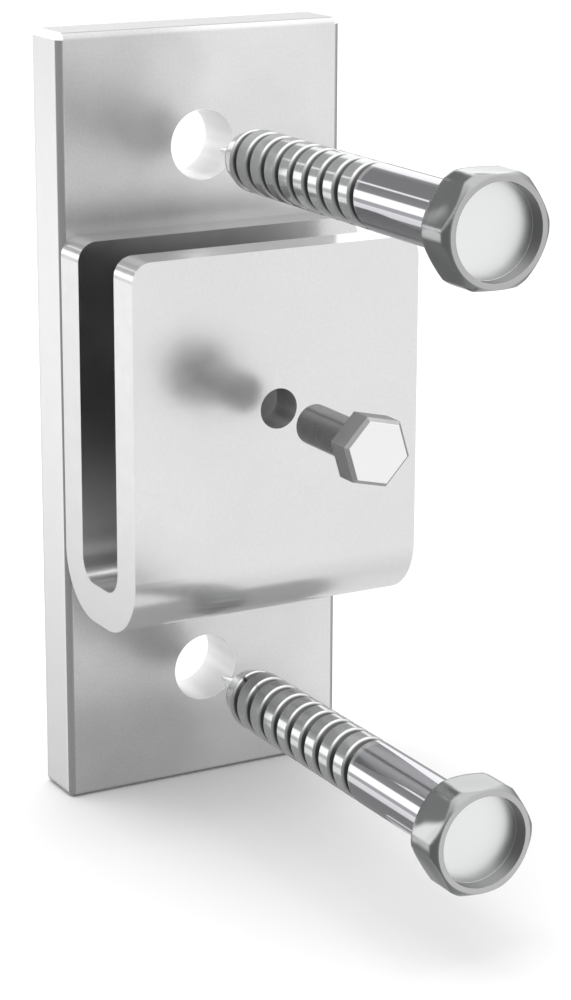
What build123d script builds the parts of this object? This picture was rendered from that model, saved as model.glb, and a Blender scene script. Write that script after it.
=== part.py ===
"""Flat bar support bracket.

A thick rectangular back plate is fixed to a wall by two lag screws. A channel,
bent from plate and open at the top, lies with its back leaf flat on the front
of the back plate. A flat bar drops into the channel, and a set bolt through
the front leaf holds it there.

Frame: millimetres, +Z up, front towards -Y. The origin is the centre of the
back plate's back face, so the wall is the plane Y = 0. The screws and the set
bolt are drawn out along their own axes, in front of their holes.
"""
import os

from build123d import *

os.makedirs("parts", exist_ok=True)

# The back plate and the channel are cut to one width
BRACKET_WIDTH = 50.8

# Back plate
PLATE_HEIGHT = 127.0
PLATE_THICKNESS = 10.0
PLATE_EDGE_RADIUS = 1.1

# Channel, bent from one strip of plate
CHANNEL_THICKNESS = 6.35
CHANNEL_GAP = 12.7
CHANNEL_HEIGHT = 61.0
CHANNEL_BEND_RADIUS = 3.9
CHANNEL_CORNER_RADIUS = 3.2
CHANNEL_TOP_ABOVE_CENTRE = 31.7

# Lag screws
LAG_SPACING = 88.9
LAG_DIAMETER = 10.0
LAG_LENGTH = 73.85
LAG_POINT_LENGTH = 12.5
LAG_POINT_BLUNT_RADIUS = 0.1
LAG_POINT_SIDES = 16
LAG_THREAD_START = 8.95
LAG_PITCH = 4.43
LAG_PLAIN_LENGTH = 23.4
LAG_GROOVE_DEPTH = 1.2
LAG_GROOVE_MOUTH = 1.9
LAG_GROOVE_TURN = 49.5
LAG_HEAD_ACROSS_FLATS = 16.0
LAG_HEAD_HEIGHT = 7.0
LAG_HEAD_TURN = 0.0
LAG_CORNER_DIAMETER = 17.5
LAG_FACE_DIAMETER = 15.7
LAG_FACE_BEVEL = 0.9
LAG_SEAT_DIAMETER = 15.7
LAG_SEAT_BEVEL = 0.9
LAG_RECESS_DIAMETER = 14.05
LAG_RECESS_DEPTH = 2.4
LAG_HOLE_CLEARANCE = 0.71
LAG_TIP_TO_PLATE = 5.9

# Set bolt
SET_BOLT_DIAMETER = 6.4
SET_BOLT_LENGTH = 14.7
SET_BOLT_HEAD_ACROSS_FLATS = 10.05
SET_BOLT_HEAD_HEIGHT = 4.42
SET_BOLT_HEAD_BEVEL = 0.58
SET_BOLT_HEAD_TURN = -13.2
SET_BOLT_CLEARANCE = 0.05
SET_BOLT_BELOW_CHANNEL_TOP = 25.4
SET_BOLT_TIP_TO_CHANNEL = 11.3

# Places worked out from the sizes above
PLATE_FRONT = -PLATE_THICKNESS
CHANNEL_DEPTH = 2 * CHANNEL_THICKNESS + CHANNEL_GAP
CHANNEL_FRONT = PLATE_FRONT - CHANNEL_DEPTH
CHANNEL_BOTTOM = CHANNEL_TOP_ABOVE_CENTRE - CHANNEL_HEIGHT
LAG_HOLE_RADIUS = LAG_DIAMETER / 2 + LAG_HOLE_CLEARANCE
LAG_HEIGHTS = {"upper_lag_screw": LAG_SPACING / 2, "lower_lag_screw": -LAG_SPACING / 2}
LAG_TIP = PLATE_FRONT - LAG_TIP_TO_PLATE
LAG_TOTAL_LENGTH = LAG_LENGTH + LAG_HEAD_HEIGHT
LAG_ROOT_RADIUS = LAG_DIAMETER / 2 - LAG_GROOVE_DEPTH
LAG_POINT_SLOPE = LAG_ROOT_RADIUS / LAG_POINT_LENGTH
LAG_CORE_RADIUS = LAG_POINT_SLOPE * LAG_THREAD_START
LAG_POINT_ENDS = {0: LAG_POINT_BLUNT_RADIUS, LAG_THREAD_START: LAG_CORE_RADIUS}
LAG_GROOVE_START = LAG_THREAD_START - LAG_PITCH / 2
SET_HOLE_RADIUS = SET_BOLT_DIAMETER / 2 + SET_BOLT_CLEARANCE
SET_BOLT_HEIGHT = CHANNEL_TOP_ABOVE_CENTRE - SET_BOLT_BELOW_CHANNEL_TOP
SET_BOLT_TIP = CHANNEL_FRONT - SET_BOLT_TIP_TO_CHANNEL


def across(y, z):
    """Plane square to the screws' axes; its normal points out of the wall."""
    return Plane(origin=(0, y, z), x_dir=(1, 0, 0), z_dir=(0, -1, 0))


# Back plate: every edge is rounded, and the two screw holes are plain
with BuildPart() as back_plate:
    with BuildSketch(across(0, 0)):
        Rectangle(BRACKET_WIDTH, PLATE_HEIGHT)
    extrude(amount=PLATE_THICKNESS)
    fillet(back_plate.edges(), radius=PLATE_EDGE_RADIUS)
    with Locations(across(PLATE_FRONT, 0)):
        with GridLocations(0, LAG_SPACING, 1, 2):
            Hole(radius=LAG_HOLE_RADIUS)

back_plate.part.label = "back_plate"
export_step(back_plate.part, "parts/back_plate.step")

# Channel: one strip bent twice, with a short flat between the bends
with BuildPart() as bar_channel:
    with BuildSketch(Plane.YZ):
        with BuildLine() as strip:
            FilletPolyline(
                (PLATE_FRONT, CHANNEL_TOP_ABOVE_CENTRE),
                (PLATE_FRONT, CHANNEL_BOTTOM),
                (CHANNEL_FRONT, CHANNEL_BOTTOM),
                (CHANNEL_FRONT, CHANNEL_TOP_ABOVE_CENTRE),
                radius=CHANNEL_BEND_RADIUS + CHANNEL_THICKNESS,
            )
            offset(amount=CHANNEL_THICKNESS, side=Side.RIGHT)
        make_face()
    extrude(amount=BRACKET_WIDTH / 2, both=True)
    leaf_corners = bar_channel.edges().filter_by(Axis.Y).group_by(Axis.Z)[-1]
    fillet(leaf_corners, radius=CHANNEL_CORNER_RADIUS)
    with Locations(across(CHANNEL_FRONT, SET_BOLT_HEIGHT)):
        Hole(radius=SET_HOLE_RADIUS, depth=CHANNEL_THICKNESS)

bar_channel.part.label = "bar_channel"
export_step(bar_channel.part, "parts/bar_channel.step")

# Lag screws: hexagon head bevelled on both sides, turned blank, helical groove
for name, height in LAG_HEIGHTS.items():
    tip = across(LAG_TIP, height)
    lengthwise = Plane(origin=tip.origin, x_dir=(1, 0, 0), z_dir=(0, 0, -1))
    axis = Axis(tip.origin, tip.z_dir)
    with BuildPart() as lag_screw:
        with BuildSketch(tip.offset(LAG_LENGTH)):
            RegularPolygon(
                radius=LAG_HEAD_ACROSS_FLATS / 2,
                side_count=6,
                major_radius=False,
                rotation=LAG_HEAD_TURN,
            )
        extrude(amount=LAG_HEAD_HEIGHT)
        with BuildSketch(lengthwise):
            with BuildLine():
                Polyline(
                    (0, LAG_LENGTH),
                    (LAG_SEAT_DIAMETER / 2, LAG_LENGTH),
                    (LAG_CORNER_DIAMETER / 2, LAG_LENGTH + LAG_SEAT_BEVEL),
                    (LAG_CORNER_DIAMETER / 2, LAG_TOTAL_LENGTH - LAG_FACE_BEVEL),
                    (LAG_FACE_DIAMETER / 2, LAG_TOTAL_LENGTH),
                    (0, LAG_TOTAL_LENGTH),
                    close=True,
                )
            make_face()
        revolve(axis=axis, mode=Mode.INTERSECT)
        with Locations(tip.offset(LAG_TOTAL_LENGTH)):
            Hole(radius=LAG_RECESS_DIAMETER / 2, depth=LAG_RECESS_DEPTH)
        with BuildSketch(lengthwise):
            with BuildLine():
                Polyline(
                    (0, LAG_THREAD_START),
                    (LAG_CORE_RADIUS + LAG_GROOVE_DEPTH, LAG_THREAD_START),
                    (LAG_DIAMETER / 2, LAG_POINT_LENGTH),
                    (LAG_DIAMETER / 2, LAG_LENGTH),
                    (0, LAG_LENGTH),
                    close=True,
                )
            make_face()
        revolve(axis=axis)
        for distance, radius in LAG_POINT_ENDS.items():
            with BuildSketch(tip.offset(distance)):
                RegularPolygon(radius=radius, side_count=LAG_POINT_SIDES)
        loft(ruled=True)
        groove_start = tip.offset(LAG_GROOVE_START)
        groove_line = Helix(
            pitch=LAG_PITCH,
            height=LAG_LENGTH - LAG_PLAIN_LENGTH - LAG_GROOVE_START,
            radius=LAG_DIAMETER / 2,
            center=groove_start.origin,
            direction=groove_start.z_dir,
            mode=Mode.PRIVATE,
        ).rotate(axis, LAG_GROOVE_TURN)
        start = groove_line @ 0
        outwards = (start - groove_start.origin).normalized()
        with BuildSketch(Plane(origin=start, x_dir=outwards, z_dir=groove_line % 0)):
            with BuildLine():
                Polyline(
                    (-LAG_GROOVE_DEPTH, 0),
                    (LAG_GROOVE_DEPTH, -LAG_GROOVE_MOUTH),
                    (LAG_GROOVE_DEPTH, LAG_GROOVE_MOUTH),
                    close=True,
                )
            make_face()
        sweep(path=groove_line, is_frenet=True, mode=Mode.SUBTRACT)
    lag_screw.part.label = name
    export_step(lag_screw.part, f"parts/{name}.step")

# Set bolt: plain shank, thin hexagon head with a flat bevel along each side
bolt_tip = across(SET_BOLT_TIP, SET_BOLT_HEIGHT)
with BuildPart() as set_bolt:
    with BuildSketch(bolt_tip):
        Circle(SET_BOLT_DIAMETER / 2)
    extrude(amount=SET_BOLT_LENGTH)
    with BuildSketch(bolt_tip.offset(SET_BOLT_LENGTH)):
        RegularPolygon(
            radius=SET_BOLT_HEAD_ACROSS_FLATS / 2,
            side_count=6,
            major_radius=False,
            rotation=SET_BOLT_HEAD_TURN,
        )
    extrude(amount=SET_BOLT_HEAD_HEIGHT)
    front_edges = set_bolt.faces().sort_by(Axis.Y)[0].edges()
    chamfer(front_edges, length=SET_BOLT_HEAD_BEVEL)

set_bolt.part.label = "set_bolt"
export_step(set_bolt.part, "parts/set_bolt.step")
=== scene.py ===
import bpy
import math
from mathutils import Matrix, Vector

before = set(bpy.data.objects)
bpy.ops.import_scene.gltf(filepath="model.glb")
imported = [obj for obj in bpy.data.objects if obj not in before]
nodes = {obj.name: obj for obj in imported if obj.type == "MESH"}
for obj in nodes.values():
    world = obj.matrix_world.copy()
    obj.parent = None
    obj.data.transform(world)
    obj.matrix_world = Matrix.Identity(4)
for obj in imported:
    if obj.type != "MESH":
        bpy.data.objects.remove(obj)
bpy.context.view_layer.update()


def reach(node, axis):
    """Lowest and highest place of a piece along one axis, in metres."""
    places = [vertex.co[axis] for vertex in nodes[node].data.vertices]
    return min(places), max(places)


# Places on the pieces, in metres, in the part's own frame. The front and all the heads face -Y.
X, Y, Z = 0, 1, 2
PLATE_SIDE = reach("back_plate", X)[1]
PLATE_FRONT = reach("back_plate", Y)[0]
PLATE_FOOT, PLATE_TOP = reach("back_plate", Z)
CHANNEL_FRONT = reach("bar_channel", Y)[0]
CHANNEL_TOP = reach("bar_channel", Z)[1]
BOLT_FACE, BOLT_TIP = reach("set_bolt", Y)
LAG_FACE, LAG_TIP = reach("upper_lag_screw", Y)
LAG_Z = sum(reach("upper_lag_screw", Z)) / 2
LAG_TOTAL_LENGTH = LAG_TIP - LAG_FACE

# Sizes of the pieces, in metres. Places named AT or END lie that far from a lag screw's tip.
BORE_RADIUS = 0.00571
CHANNEL_METAL = 0.00635
BOLT_LENGTH = 0.0147
BOLT_BEVEL = 0.00058
LAG_LENGTH = 0.07385
LAG_RADIUS = 0.005
POINT_LENGTH = 0.0125
FIRST_RING_AT = 0.00895
FIRST_RING_RADIUS = 0.00392
RING_SLOPE = (LAG_RADIUS - FIRST_RING_RADIUS) / (POINT_LENGTH - FIRST_RING_AT)
GROOVE_DEPTH = 0.0012
THREAD_END = 0.0506
RECESS_DEPTH = 0.0024
RECESS_RADIUS = 0.007025
RECESS_FLOOR_AT = LAG_TOTAL_LENGTH - RECESS_DEPTH

# A point this near to a face counts as on it
ON_FACE = 0.00004

# Floor, just under the plate's foot, and the card on it, which paints the floor's shadow into reflections
FLOOR_SIZE = 8.0
FLOOR_Z = PLATE_FOOT - 0.00002
CARD_PLACE = (0.003, -0.0225, FLOOR_Z + 0.0001)
CARD_SIZE = (0.058, 0.065, 1.0)
PAINTED_SHADOW_GLOW = 0.3

# Key light
KEY_PLACE = Vector((-0.05, 0.2, 1.0))
KEY_SIZE = 1.0
KEY_POWER = 3.6

# Camera, fitted to the perspective of the photo
CAMERA_PLACE = (-0.21073, -0.41432, 0.11587)
CAMERA_YAW = math.radians(29.225)
CAMERA_PITCH = math.radians(16.023)
CAMERA_ROLL = math.radians(0.201)
CAMERA_LENS = 102.45
SENSOR_HEIGHT = 36.0

# Studio in reflections, as (degrees round the Y axis from +X towards +Z, level).
# Shanks and threads reflect what lies behind the bracket, faces and heads what lies before it.
BEHIND = [
    (0, 0.35), (8, 0.9), (12, 1.4), (52, 1.4), (60, 0.42), (75, 0.30), (126, 0.32),
    (128, 1.5), (131, 1.5), (133, 0.32), (158, 0.4), (161, 1.75), (183, 1.75), (186, 0.6),
    (197, 0.6), (200, 1.3), (205, 1.1), (217, 1.1), (220, 0.32), (240, 0.36), (244, 0.18),
    (250, 0.42), (258, 0.3), (260, 1.2), (263, 1.2), (265, 0.3), (285, 0.5), (300, 0.9),
    (330, 0.7), (359, 0.35),
]
MIDDLE = [
    (0, 0.35), (20, 0.6), (40, 1.3), (140, 1.3), (170, 0.5), (185, 0.25), (240, 0.25),
    (280, 0.5), (295, 0.85), (312, 0.85), (330, 0.35), (359, 0.35),
]
BEFORE = [
    (0, 0.9), (30, 1.0), (45, 1.3), (100, 1.3), (130, 0.5), (160, 0.25), (225, 0.25),
    (250, 0.35), (285, 0.6), (305, 0.85), (320, 0.97), (330, 0.95), (341, 0.9), (359, 0.9),
]
# Where one passes into the next, as the Y part of a direction
BEFORE_TO_MIDDLE = (-0.25, 0.0)
MIDDLE_TO_BEHIND = (0.55, 0.7)
# Share of the studio's light that is left after one, two, three, and four or more reflections
FADE = (1.0, 0.5, 0.2, 0.08)
# The world's even light, which matt surfaces get
DIFFUSE_LEVEL = 1.14


# Small helpers for node trees
class Maker:
    """Adds nodes to one tree with short calls. A mask is 1 inside its zone and 0 outside."""

    def __init__(self, tree):
        self.tree = tree

    def feed(self, socket, value):
        if isinstance(value, bpy.types.NodeSocket):
            self.tree.links.new(value, socket)
        else:
            socket.default_value = value

    def node(self, kind, **sockets):
        made = self.tree.nodes.new(kind)
        for key, value in sockets.items():
            self.feed(made.inputs[key], value)
        return made

    def place(self):
        return self.tree.nodes.new("ShaderNodeTexCoord").outputs["Object"]

    def split(self, vector):
        return self.node("ShaderNodeSeparateXYZ", Vector=vector).outputs

    def math(self, operation, a, b=0.0):
        made = self.tree.nodes.new("ShaderNodeMath")
        made.operation = operation
        self.feed(made.inputs[0], a)
        self.feed(made.inputs[1], b)
        return made.outputs[0]

    def add(self, a, b):
        return self.math("ADD", a, b)

    def less(self, a, b):
        return self.math("SUBTRACT", a, b)

    def times(self, a, b):
        return self.math("MULTIPLY", a, b)

    def higher(self, a, b):
        return self.math("MAXIMUM", a, b)

    def lower(self, a, b):
        return self.math("MINIMUM", a, b)

    def above(self, value, limit):
        return self.math("GREATER_THAN", value, limit)

    def below(self, value, limit):
        return self.math("LESS_THAN", value, limit)

    def outside(self, mask):
        return self.less(1.0, mask)

    def ramp(self, value, low, high, out_low=0.0, out_high=1.0, smooth=True):
        made = self.tree.nodes.new("ShaderNodeMapRange")
        made.interpolation_type = "SMOOTHSTEP" if smooth else "LINEAR"
        self.feed(made.inputs[0], value)
        for index, number in enumerate((low, high, out_low, out_high), start=1):
            made.inputs[index].default_value = number
        return made.outputs[0]

    def noise(self, scale, detail, rough, stretch=None):
        vector = self.place()
        if stretch:
            vector = self.node("ShaderNodeMapping", Vector=vector, Scale=stretch).outputs[0]
        made = self.node("ShaderNodeTexNoise", Vector=vector, Scale=scale, Detail=detail, Roughness=rough)
        return made.outputs["Fac"]

    def clouds(self, scale, low, high, detail=2.0, rough=0.5, stretch=None, smooth=True):
        """Soft noise that runs from low to high."""
        return self.ramp(self.noise(scale, detail, rough, stretch), 0.3, 0.7, low, high, smooth)

    def grain(self, scale, middle, depth):
        """Finer, more even noise round a middle value."""
        return self.ramp(self.noise(scale, 2.0, 0.6), 0.2, 0.8, middle - depth, middle + depth)

    def from_lag_axis(self, part):
        """Distance from the axis of the nearer lag screw, in metres."""
        dz = self.less(self.math("ABSOLUTE", part[Z]), LAG_Z)
        return self.math("SQRT", self.add(self.times(dz, dz), self.times(part[X], part[X])))

    def mix(self, factor, a, b):
        made = self.tree.nodes.new("ShaderNodeMix")
        made.data_type = "RGBA"
        self.feed(made.inputs["Factor"], factor)
        self.feed(made.inputs[6], a)
        self.feed(made.inputs[7], b)
        return made.outputs[2]

    def grey(self, value):
        return self.node("ShaderNodeCombineColor", Red=value, Green=value, Blue=value).outputs[0]


def colour(red, green, blue):
    return (red, green, blue, 1.0)


def even_grey(level):
    return colour(level, level, level)


def new_material(name):
    mat = bpy.data.materials.new(name)
    mat.use_nodes = True
    tree = mat.node_tree
    tree.nodes.clear()
    out = tree.nodes.new("ShaderNodeOutputMaterial")
    bsdf = tree.nodes.new("ShaderNodeBsdfPrincipled")
    tree.links.new(bsdf.outputs["BSDF"], out.inputs["Surface"])
    return mat, bsdf, Maker(tree)


# Materials
def satin_steel(name, rough):
    """Blasted steel with slightly uneven roughness; the caller feeds its colour and metallic share."""
    mat, bsdf, m = new_material(name)
    m.feed(bsdf.inputs["Roughness"], m.grain(scale=350.0, middle=rough, depth=0.02))
    return mat, bsdf, m


def plate_steel():
    """Back plate: cloudy front with painted shade on its left, painted light on its sides, painted shade on
    its upright front edges, top and foot, and a painted highlight of matt white in its bores and top corners.
    """
    left_painted_shade = 0.60
    right_tone = 0.78
    rear_tone = 0.72
    side_painted_light = 0.84
    edge_painted_shade = 0.42
    top_painted_shade = 0.40
    foot_painted_shade = 0.25
    metallic = 0.62
    edge_width = 0.00095
    edge_depth = 0.0009
    corner_size = 0.00108
    left_to_right = (-0.014, 0.003)
    front_to_rear = (-0.006, -0.003)
    foot_fade = (PLATE_FOOT + 0.0003, PLATE_FOOT + 0.0009)
    top_fade = (PLATE_TOP - 0.00015, PLATE_TOP - 0.0001)
    mat, bsdf, m = satin_steel("plate_steel", rough=0.25)
    part = m.split(m.place())
    off_centre = m.math("ABSOLUTE", part[X])

    # Painted shade: the front is darker on the left, and its two tones meet in a cloudy border
    wander = m.clouds(scale=45.0, low=-0.004, high=0.004, smooth=False)
    tone = m.ramp(m.add(part[X], wander), *left_to_right, left_painted_shade, right_tone)
    tone = m.higher(tone, m.ramp(part[Y], *front_to_rear, 0.0, rear_tone))
    tone = m.add(tone, m.clouds(scale=90.0, low=-0.02, high=0.02, detail=3.0, rough=0.6))
    tone = m.add(tone, m.grain(scale=2200.0, middle=0.0, depth=0.03))

    # Painted light on the sides, and painted shade on the upright front edges, the top and the foot
    lit_side = m.above(off_centre, PLATE_SIDE - 0.00015)
    tone = m.higher(tone, m.times(lit_side, side_painted_light))
    shaded_edge = m.times(m.above(off_centre, PLATE_SIDE - edge_width), m.below(part[Y], PLATE_FRONT + edge_depth))
    tone = m.lower(tone, m.ramp(shaded_edge, 0.0, 1.0, 1.0, edge_painted_shade, smooth=False))
    tone = m.lower(tone, m.ramp(part[Z], *top_fade, 1.0, top_painted_shade))
    tone = m.lower(tone, m.ramp(part[Z], *foot_fade, foot_painted_shade, 1.0))

    # Painted highlight: the bores and the top corners are a matt white, which is not metallic
    bore_highlight = m.below(m.from_lag_axis(part), BORE_RADIUS + ON_FACE)
    corner_highlight = m.times(m.above(off_centre, PLATE_SIDE - corner_size), m.above(part[Z], PLATE_TOP - corner_size))
    white = m.higher(bore_highlight, corner_highlight)
    m.feed(bsdf.inputs["Base Color"], m.mix(white, m.grey(tone), even_grey(0.88)))
    m.feed(bsdf.inputs["Metallic"], m.less(metallic, m.times(white, metallic)))
    return mat


def channel_steel():
    """Channel: the same finish, more even. Its gap is pure metal, but for the bottom and a strip on top."""
    metallic = 0.84
    strip_share = 0.85
    gap_bottom = (-0.02, 0.0)
    strip_rise = (CHANNEL_TOP - 0.0067, CHANNEL_TOP - 0.0017)
    strip_start = (-0.024, -0.004)
    back_wall = PLATE_FRONT - CHANNEL_METAL
    front_wall = CHANNEL_FRONT + CHANNEL_METAL
    mat, bsdf, m = satin_steel("channel_steel", rough=0.22)
    part = m.split(m.place())
    in_gap = m.times(m.below(part[Y], back_wall + ON_FACE), m.above(part[Y], front_wall - ON_FACE))
    pure = m.times(in_gap, m.ramp(part[Z], *gap_bottom))
    strip = m.times(m.ramp(part[Z], *strip_rise), m.ramp(part[X], *strip_start))
    pure = m.times(pure, m.less(1.0, m.times(strip, strip_share)))
    m.feed(bsdf.inputs["Metallic"], m.ramp(pure, 0.0, 1.0, metallic, 1.0, smooth=False))
    tone = m.clouds(scale=28.0, low=0.79, high=0.82, detail=3.0)
    tone = m.add(tone, m.grain(scale=2200.0, middle=0.0, depth=0.02))
    m.feed(bsdf.inputs["Base Color"], m.grey(tone))
    return mat


def bolt_steel():
    """Set bolt: dull grey head with a lighter bevel, a painted highlight that makes its face bright, and a
    shinier shank.
    """
    bevel_gain = 0.14
    shank_gain = 0.12
    metallic = 0.7
    mat, bsdf, m = satin_steel("bolt_steel", rough=0.2)
    part = m.split(m.place())
    face = m.below(part[Y], BOLT_FACE + ON_FACE)
    bevel = m.below(part[Y], BOLT_FACE + BOLT_BEVEL)
    shank = m.above(part[Y], BOLT_TIP - BOLT_LENGTH + ON_FACE)
    tone = m.clouds(scale=150.0, low=0.31, high=0.35)
    tone = m.add(tone, m.times(bevel, bevel_gain))
    tone = m.add(tone, m.times(shank, shank_gain))
    # The face is painted near white, a painted highlight
    m.feed(bsdf.inputs["Base Color"], m.mix(face, m.grey(tone), even_grey(0.95)))
    m.feed(bsdf.inputs["Metallic"], m.ramp(m.higher(face, shank), 0.0, 1.0, metallic, 1.0, smooth=False))
    return mat


def polished_steel():
    """Lag screws: bright shank, thread with painted highlights on its groove flanks and painted shade in its
    groove roots, wavy forged head, frosted floor in its recess that is also brightened by a painted
    highlight.
    """
    crest_sag = 0.00006
    root_shade_fade = (0.00015, 0.4 * GROOVE_DEPTH)
    dull_crest = 0.25
    sharp_edge = 0.00012
    forged_edge = 0.0008
    mat, bsdf, m = new_material("polished_steel")
    part = m.split(m.place())
    along = m.less(LAG_TIP, part[Y])
    radius = m.from_lag_axis(part)

    # Thread: a groove starts where the surface is sunk below the crests, which form a cone at the point
    cone = m.add(m.times(m.less(along, FIRST_RING_AT), RING_SLOPE), FIRST_RING_RADIUS)
    sunk = m.less(m.lower(cone, LAG_RADIUS), radius)
    threaded = m.times(m.above(along, FIRST_RING_AT - ON_FACE), m.below(along, THREAD_END))
    groove = m.times(threaded, m.above(sunk, crest_sag))
    # Painted shade: the deepest part of each groove, its root, is coloured dark below
    root_shade = m.times(groove, m.ramp(sunk, *root_shade_fade))

    # Head
    head = m.above(along, LAG_LENGTH - ON_FACE)
    rim = m.above(along, LAG_TOTAL_LENGTH - ON_FACE)
    in_recess = m.below(radius, RECESS_RADIUS + ON_FACE)
    up_to_floor = m.below(along, RECESS_FLOOR_AT + ON_FACE)
    recess_floor = m.times(m.times(m.above(along, RECESS_FLOOR_AT - ON_FACE), up_to_floor), in_recess)
    recess_wall = m.times(m.times(m.outside(up_to_floor), in_recess), m.outside(rim))

    # Colours, each laid over the ones before it: a painted highlight on the groove flanks and the recess
    # floor, painted shade in the groove roots, and rim and recess wall set lighter than the head
    shade = colour(0.60, 0.60, 0.63)
    zones = [
        (threaded, colour(0.60, 0.61, 0.61)),
        (groove, even_grey(0.85)),
        (root_shade, even_grey(0.10)),
        (head, colour(0.42, 0.43, 0.43)),
        (rim, even_grey(0.50)),
        (recess_wall, even_grey(0.55)),
        (recess_floor, colour(0.93, 0.94, 0.94)),
    ]
    for zone, zone_colour in zones:
        shade = m.mix(zone, shade, zone_colour)
    m.feed(bsdf.inputs["Base Color"], shade)
    m.feed(bsdf.inputs["Metallic"], m.less(1.0, m.times(m.less(threaded, groove), dull_crest)))

    # Fine lines round the shank, a duller thread and a frosted recess floor
    rough = m.clouds(scale=900.0, low=0.05, high=0.09, rough=0.6, stretch=(0.05, 1.0, 0.05))
    rough = m.add(rough, m.times(threaded, 0.05))
    rough = m.add(rough, m.times(recess_floor, 0.30))
    m.feed(bsdf.inputs["Roughness"], rough)

    # Softened edges, wider on the outside of the head, and the slight waves of forging there
    forged = m.times(m.times(head, m.outside(in_recess)), m.outside(rim))
    softened = m.node("ShaderNodeBevel", Radius=m.add(sharp_edge, m.times(forged, forged_edge)))
    softened.samples = 6
    waves = m.times(m.noise(scale=130.0, detail=0.0, rough=0.5), forged)
    wavy = m.node("ShaderNodeBump", Strength=0.5, Distance=0.0018, Height=waves, Normal=softened.outputs[0])
    m.feed(bsdf.inputs["Normal"], wavy.outputs[0])
    return mat


def give(node, mat):
    mesh = nodes[node].data
    if not mesh.materials:
        mesh.materials.append(mat)
    for index in range(len(mesh.materials)):
        mesh.materials[index] = mat


# Stage
def add_plane(name, size, place):
    bpy.ops.mesh.primitive_plane_add(size=size, location=place)
    plane = bpy.context.object
    plane.name = name
    return plane


def add_floor():
    """A plain pale plane."""
    mat, bsdf, _ = new_material("floor_white")
    bsdf.inputs["Base Color"].default_value = even_grey(0.9)
    bsdf.inputs["Roughness"].default_value = 0.9
    bsdf.inputs["Specular IOR Level"].default_value = 0.0
    floor = add_plane("floor", FLOOR_SIZE, (0, 0, FLOOR_Z))
    floor.data.materials.append(mat)
    floor.visible_glossy = False


def add_floor_card():
    """Painted shadow: a glowing grey card that stands for the shaded floor under the bracket, seen in
    reflections only.
    """
    mat, bsdf, _ = new_material("painted_shadow_card")
    bsdf.inputs["Base Color"].default_value = even_grey(0.0)
    bsdf.inputs["Specular IOR Level"].default_value = 0.0
    bsdf.inputs["Emission Color"].default_value = even_grey(1.0)
    bsdf.inputs["Emission Strength"].default_value = PAINTED_SHADOW_GLOW
    card = add_plane("floor_card", 1.0, CARD_PLACE)
    card.scale = CARD_SIZE
    card.data.materials.append(mat)
    card.visible_camera = False
    card.visible_diffuse = False
    card.visible_shadow = False


def add_key_light():
    """A square lamp above the bracket and turned to it, for the soft shadow on the floor."""
    data = bpy.data.lights.new("key", "AREA")
    data.shape = "SQUARE"
    data.size = KEY_SIZE
    data.energy = KEY_POWER
    lamp = bpy.data.objects.new("key", data)
    lamp.location = KEY_PLACE
    lamp.rotation_euler = (-KEY_PLACE).to_track_quat("-Z", "Y").to_euler()
    lamp.visible_glossy = False
    bpy.context.collection.objects.link(lamp)


def level_ring(w, stops, angle):
    """A grey ramp round the Y axis from (degrees, level) stops."""
    made = w.tree.nodes.new("ShaderNodeValToRGB")
    made.color_ramp.interpolation = "LINEAR"
    w.feed(made.inputs[0], w.math("DIVIDE", angle, 360.0))
    points = made.color_ramp.elements
    while len(points) < len(stops):
        points.new(0.5)
    for point, (degrees, level) in zip(points, stops):
        point.position = degrees / 360.0
        point.color = even_grey(level)
    return made.outputs[0]


def reflected_studio(w):
    """Colour of the studio in the direction that a reflection looks."""
    way = w.split(w.tree.nodes.new("ShaderNodeTexCoord").outputs["Generated"])
    angle = w.times(w.math("ARCTAN2", way[Z], way[X]), 180 / math.pi)
    angle = w.math("MODULO", w.add(angle, 360.0), 360.0)
    before = level_ring(w, BEFORE, angle)
    middle = level_ring(w, MIDDLE, angle)
    behind = level_ring(w, BEHIND, angle)
    studio = w.mix(w.ramp(way[Y], *BEFORE_TO_MIDDLE), before, middle)
    return w.mix(w.ramp(way[Y], *MIDDLE_TO_BEHIND), studio, behind)


def faded(w, depth):
    """FADE by Ray Depth, which in the world is one more than the number of reflections."""
    share = FADE[0]
    for index in range(1, len(FADE)):
        later = w.above(depth, index + 1.5)
        share = w.add(w.times(later, FADE[index] - FADE[index - 1]), share)
    return share


def choose(w, factor, a, b):
    made = w.tree.nodes.new("ShaderNodeMixShader")
    w.feed(made.inputs[0], factor)
    w.feed(made.inputs[1], a)
    w.feed(made.inputs[2], b)
    return made.outputs[0]


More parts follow.
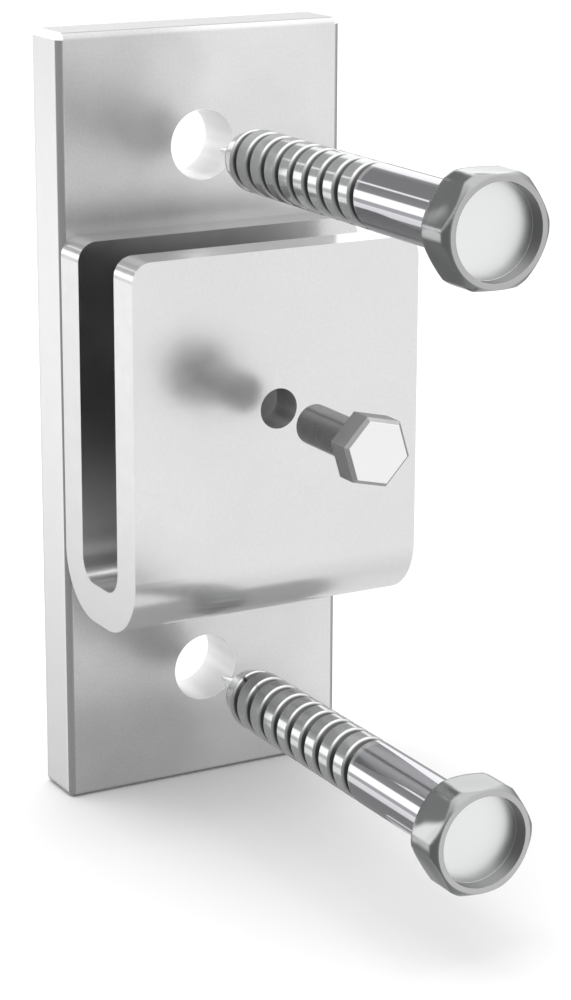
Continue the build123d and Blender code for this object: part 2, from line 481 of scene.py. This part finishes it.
def build_world():
    """White for the camera, the studio for reflections, and even light for the rest."""
    world = bpy.data.worlds.new("studio")
    bpy.context.scene.world = world
    world.use_nodes = True
    world.node_tree.nodes.clear()
    w = Maker(world.node_tree)
    out = w.tree.nodes.new("ShaderNodeOutputWorld")
    rays = w.tree.nodes.new("ShaderNodeLightPath").outputs
    studio = w.node("ShaderNodeBackground", Color=reflected_studio(w), Strength=faded(w, rays["Ray Depth"]))
    even = w.node("ShaderNodeBackground", Color=even_grey(1.0), Strength=DIFFUSE_LEVEL)
    white = w.node("ShaderNodeBackground", Color=even_grey(1.0), Strength=1.0)
    looks = choose(w, rays["Is Camera Ray"], even.outputs[0], white.outputs[0])
    looks = choose(w, rays["Is Glossy Ray"], looks, studio.outputs[0])
    w.feed(out.inputs["Surface"], looks)


def add_camera():
    """The photo's camera: turned by yaw, tipped down by pitch, then rolled."""
    level = math.cos(CAMERA_PITCH)
    forward = Vector((math.sin(CAMERA_YAW) * level, math.cos(CAMERA_YAW) * level, -math.sin(CAMERA_PITCH)))
    right = Vector((math.cos(CAMERA_YAW), -math.sin(CAMERA_YAW), 0.0))
    up = right.cross(forward)
    rolled_right = math.cos(CAMERA_ROLL) * right + math.sin(CAMERA_ROLL) * up
    rolled_up = -math.sin(CAMERA_ROLL) * right + math.cos(CAMERA_ROLL) * up
    data = bpy.data.cameras.new("camera")
    data.sensor_fit = "VERTICAL"
    data.sensor_height = SENSOR_HEIGHT
    data.lens = CAMERA_LENS
    data.clip_start = 0.01
    data.clip_end = 50.0
    camera = bpy.data.objects.new("camera", data)
    bpy.context.collection.objects.link(camera)
    turn = Matrix((rolled_right, rolled_up, -forward)).transposed().to_4x4()
    camera.matrix_world = Matrix.Translation(CAMERA_PLACE) @ turn
    bpy.context.scene.camera = camera


# The dressed part
chrome = polished_steel()
give("back_plate", plate_steel())
give("bar_channel", channel_steel())
give("upper_lag_screw", chrome)
give("lower_lag_screw", chrome)
give("set_bolt", bolt_steel())

# The studio
add_floor()
add_floor_card()
add_key_light()
build_world()
add_camera()
bpy.context.scene.view_settings.view_transform = "Standard"
